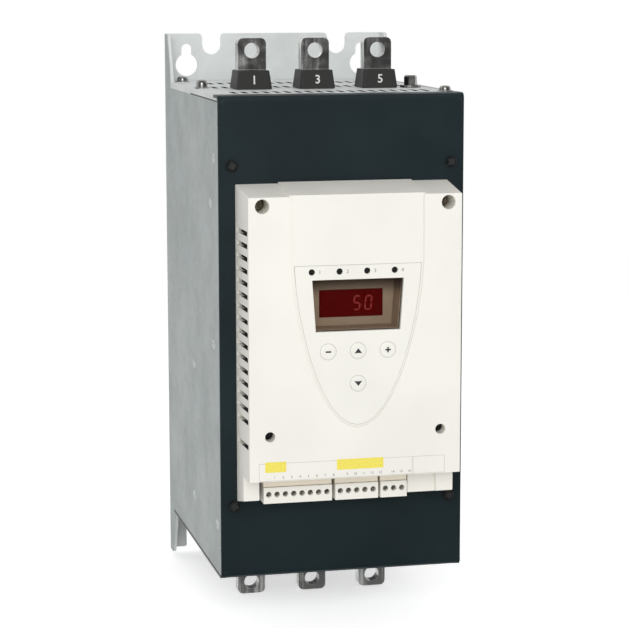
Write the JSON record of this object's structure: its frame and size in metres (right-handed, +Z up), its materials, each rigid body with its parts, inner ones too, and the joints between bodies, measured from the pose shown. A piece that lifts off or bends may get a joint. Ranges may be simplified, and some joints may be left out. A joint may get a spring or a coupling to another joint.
{
  "type": "soft starter",
  "caption": "Wall-mounted three-phase motor soft starter: folded steel chassis, copper bars, cream keypad housing with display and plug-in terminals.",
  "frame": {"origin": "on the rear mounting face, at mid width and half of the body's height", "axes": "+Z up along the body, +Y out of the rear face into the wall; the front looks towards -Y"},
  "size_m": [0.15, 0.2299, 0.3563],
  "materials": {
    "galvanised_sheet": "satin zinc-coated steel",
    "black_sheet": "satin black paint",
    "cream_plastic": "fine moulded texture",
    "cream_film": "printed film",
    "smoked_window": "smoked clear plastic",
    "red_display": "dark red",
    "light_guide": "dark when off",
    "tinned_copper": "tinned copper",
    "black_plastic": "matte",
    "aluminium": "extruded",
    "circuit_board": "green solder mask",
    "bright_steel": "zinc-plated",
    "laminated_iron": "laminations",
    "coil_winding": "varnished wire",
    "beige_plastic": "matte",
    "module_resin": "cast resin case"
  },
  "bodies": {
    "body": {"board_connector": "black_plastic", "bottom_plate": "galvanised_sheet", "bypass_coil": "coil_winding", "bypass_core": "laminated_iron", "bypass_frame": "black_plastic", "chassis": "galvanised_sheet", "control_board": "circuit_board", "control_housing": "cream_plastic", "cover_screw_1": "black_plastic", "cover_screw_2": "black_plastic", "cover_screw_3": "black_plastic", "cover_screw_4": "black_plastic", "current_sensor_1": "black_plastic", "current_sensor_2": "black_plastic", "current_sensor_3": "black_plastic", "display_module": "red_display", "display_window": "smoked_window", "earth_screw": "bright_steel", "fan_frame_left": "black_plastic", "fan_frame_right": "black_plastic", "front_cover": "black_sheet", "header_1": "beige_plastic", "header_2": "beige_plastic", "header_3": "beige_plastic", "heatsink": "aluminium", "keypad_overlay": "cream_film", "light_guide": "light_guide", "line_bar_1": "tinned_copper", "line_bar_2": "tinned_copper", "line_bar_3": "tinned_copper", "line_shroud_1": "black_plastic", "line_shroud_2": "black_plastic", "line_shroud_3": "black_plastic", "load_bar_1": "tinned_copper", "load_bar_2": "tinned_copper", "load_bar_3": "tinned_copper", "load_shroud_1": "black_plastic", "load_shroud_2": "black_plastic", "load_shroud_3": "black_plastic", "plug_1": "cream_plastic", "plug_2": "cream_plastic", "plug_3": "cream_plastic", "power_board": "circuit_board", "thyristor_module_1": "module_resin", "thyristor_module_2": "module_resin", "thyristor_module_3": "module_resin", "top_plate": "galvanised_sheet"},
    "key_left": {"key_left": "cream_film"},
    "key_up": {"key_up": "cream_film"},
    "key_right": {"key_right": "cream_film"},
    "key_down": {"key_down": "cream_film"},
    "bypass_slider": {"bypass_carrier": "black_plastic", "bypass_armature": "laminated_iron", "bridge_contact_1": "tinned_copper", "bridge_contact_2": "tinned_copper", "bridge_contact_3": "tinned_copper"},
    "rotor_left": {"fan_rotor_left": "black_plastic"},
    "rotor_right": {"fan_rotor_right": "black_plastic"}
  },
  "joints": [
    {"name": "key_left_press", "type": "slide", "parent": "body", "child": "key_left", "axis": [0, 1, 0], "range_m": [0, 0.0008], "stiffness_N_per_m": 600, "springref_m": -0.0006},
    {"name": "key_up_press", "type": "slide", "parent": "body", "child": "key_up", "axis": [0, 1, 0], "range_m": [0, 0.0008], "stiffness_N_per_m": 600, "springref_m": -0.0006},
    {"name": "key_right_press", "type": "slide", "parent": "body", "child": "key_right", "axis": [0, 1, 0], "range_m": [0, 0.0008], "stiffness_N_per_m": 600, "springref_m": -0.0006},
    {"name": "key_down_press", "type": "slide", "parent": "body", "child": "key_down", "axis": [0, 1, 0], "range_m": [0, 0.0008], "stiffness_N_per_m": 600, "springref_m": -0.0006},
    {"name": "bypass_close", "type": "slide", "parent": "body", "child": "bypass_slider", "axis": [0, 1, 0], "range_m": [0, 0.0037], "stiffness_N_per_m": 2500, "springref_m": -0.002},
    {"name": "fan_left_spin", "type": "hinge", "parent": "body", "child": "rotor_left", "pos_m": [-0.0355, -0.04225, -0.13], "axis": [0, 0, 1], "continuous": true},
    {"name": "fan_right_spin", "type": "hinge", "parent": "body", "child": "rotor_right", "pos_m": [0.0355, -0.04225, -0.13], "axis": [0, 0, 1], "continuous": true}
  ]
}
